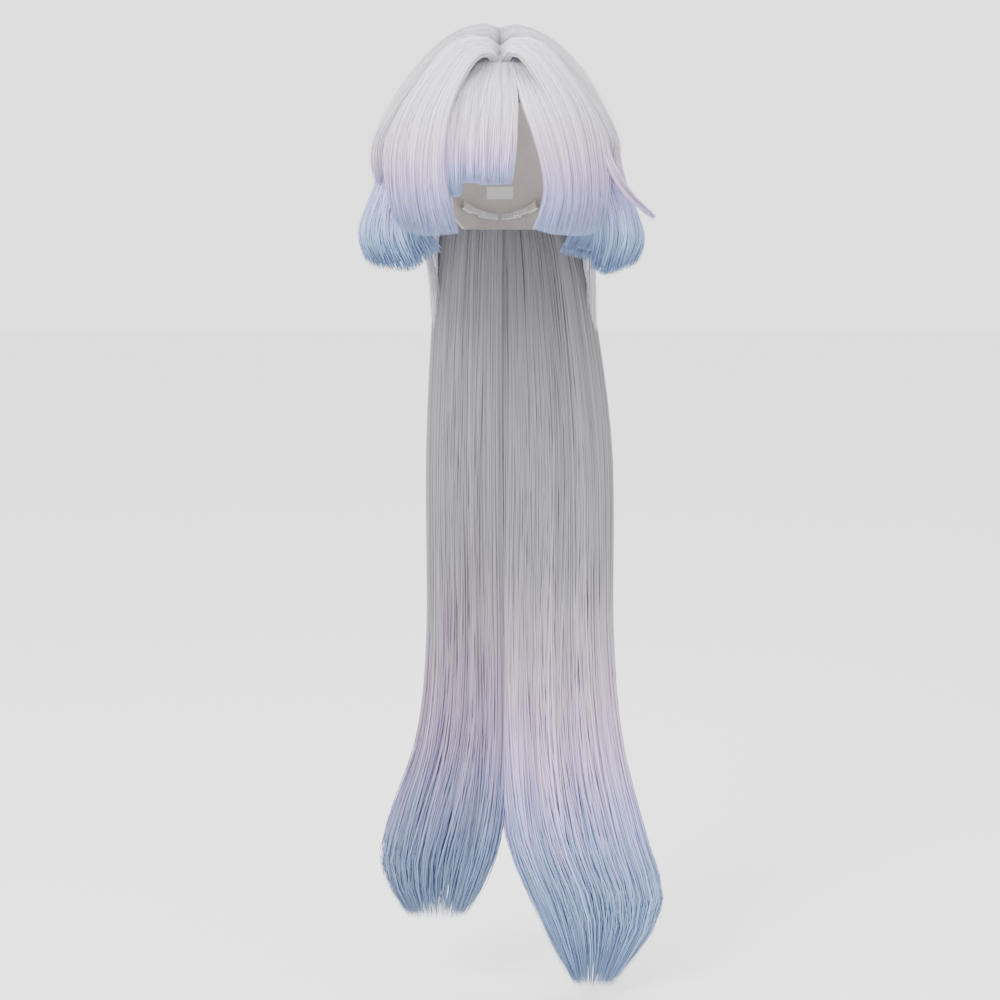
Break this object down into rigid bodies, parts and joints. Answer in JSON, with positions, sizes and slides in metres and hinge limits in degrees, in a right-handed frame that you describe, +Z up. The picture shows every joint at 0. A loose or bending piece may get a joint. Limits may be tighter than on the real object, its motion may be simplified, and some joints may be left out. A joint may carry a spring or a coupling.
{
  "type": "costume wig",
  "caption": "Very long costume wig with a blunt fringe, side bangs, flared side hair and two long back masses, on a stretch cap with nape adjusters.",
  "frame": {"origin": "centre of the head opening, at the widest girth of the head", "axes": "+Z up along the head, -Y out of the face, +X the side of the flick lock"},
  "size_m": [0.355, 0.2915, 1.118],
  "materials": {
    "cap_net": "matte",
    "trim_band": "matte",
    "elastic_rib": "matte",
    "weft_tape": "matte",
    "part_skin": "matte",
    "stay_steel": "satin",
    "hook_plastic": "satin",
    "label_cloth": "matte",
    "hair_crown": "satin",
    "hair_fringe": "satin",
    "hair_side": "satin",
    "hair_long": "satin"
  },
  "bodies": {
    "cap": {"cap_net": "cap_net", "front_band": "trim_band", "nape_band": "trim_band", "ear_tab_left": "trim_band", "ear_tab_right": "trim_band", "over_ear_band_left": "trim_band", "over_ear_band_right": "trim_band", "ear_stay_left": "stay_steel", "ear_stay_right": "stay_steel", "centre_rib": "elastic_rib", "cross_rib_left": "elastic_rib", "cross_rib_right": "elastic_rib", "weft_track_1": "weft_tape", "weft_track_2": "weft_tape", "weft_track_3": "weft_tape", "weft_track_4": "weft_tape", "weft_track_5": "weft_tape", "weft_track_6": "weft_tape", "weft_track_7": "weft_tape", "weft_track_8": "weft_tape", "part_patch": "part_skin", "care_label": "label_cloth", "hook_loops_left": "weft_tape", "strap_sleeve_left": "trim_band", "hook_loops_right": "weft_tape", "strap_sleeve_right": "trim_band", "crown_hair_left": "hair_crown", "crown_hair_right": "hair_crown", "crown_hair_back": "hair_crown", "front_arch_left": "hair_crown", "front_arch_right": "hair_crown", "fringe_root": "hair_fringe"},
    "fringe": {"fringe_main": "hair_fringe", "fringe_step": "hair_fringe"},
    "bang_left": {"side_bang_left": "hair_fringe"},
    "bang_right": {"side_bang_right": "hair_fringe"},
    "side_left": {"side_layer_left": "hair_side", "side_under_left": "hair_side", "side_flare_left": "hair_side"},
    "side_right": {"side_layer_right": "hair_side", "side_under_right": "hair_side", "side_flare_right": "hair_side", "flick_lock_right": "hair_side"},
    "long_left": {"long_hair_left": "hair_long", "long_under_left": "hair_long"},
    "long_right": {"long_hair_right": "hair_long", "long_under_right": "hair_long"},
    "adjuster_left": {"adjuster_strap_left": "elastic_rib", "adjuster_hook_left": "hook_plastic"},
    "adjuster_right": {"adjuster_strap_right": "elastic_rib", "adjuster_hook_right": "hook_plastic"}
  },
  "joints": [
    {"name": "fringe_lift", "type": "hinge", "parent": "cap", "child": "fringe", "pos_m": [0, -0.1026, 0.0588], "axis": [-1, 0, 0], "range_deg": [0, 35], "stiffness_Nm_per_rad": 0.04, "springref_deg": -34.38},
    {"name": "bang_left_lift", "type": "hinge", "parent": "cap", "child": "bang_left", "pos_m": [-0.08, -0.1045, 0.0545], "axis": [-1, 0, 0], "range_deg": [0, 30], "stiffness_Nm_per_rad": 0.04, "springref_deg": -34.38},
    {"name": "bang_right_lift", "type": "hinge", "parent": "cap", "child": "bang_right", "pos_m": [0.06, -0.122, 0.0545], "axis": [-1, 0, 0], "range_deg": [0, 30], "stiffness_Nm_per_rad": 0.04, "springref_deg": -34.38},
    {"name": "side_left_swing", "type": "hinge", "parent": "cap", "child": "side_left", "pos_m": [-0.1355, 0.003, 0.017], "axis": [0, 1, 0], "range_deg": [0, 40], "stiffness_Nm_per_rad": 0.04, "springref_deg": -34.38},
    {"name": "side_right_swing", "type": "hinge", "parent": "cap", "child": "side_right", "pos_m": [0.1355, 0.003, 0.017], "axis": [0, -1, 0], "range_deg": [0, 40], "stiffness_Nm_per_rad": 0.04, "springref_deg": -34.38},
    {"name": "long_left_swing", "type": "hinge", "parent": "cap", "child": "long_left", "pos_m": [-0.042, 0.1262, -0.05], "axis": [1, 0, 0], "range_deg": [0, 60]},
    {"name": "long_right_swing", "type": "hinge", "parent": "cap", "child": "long_right", "pos_m": [0.053, 0.1262, -0.05], "axis": [1, 0, 0], "range_deg": [0, 60]},
    {"name": "adjuster_left_slide", "type": "hinge", "parent": "cap", "child": "adjuster_left", "pos_m": [0, 0.02835, -0.03672], "axis": [0, -0.6108, -0.7918], "range_deg": [0, 12]},
    {"name": "adjuster_right_slide", "type": "hinge", "parent": "cap", "child": "adjuster_right", "pos_m": [0, 0.02835, -0.03672], "axis": [0, 0.6108, 0.7918], "range_deg": [0, 12]}
  ]
}
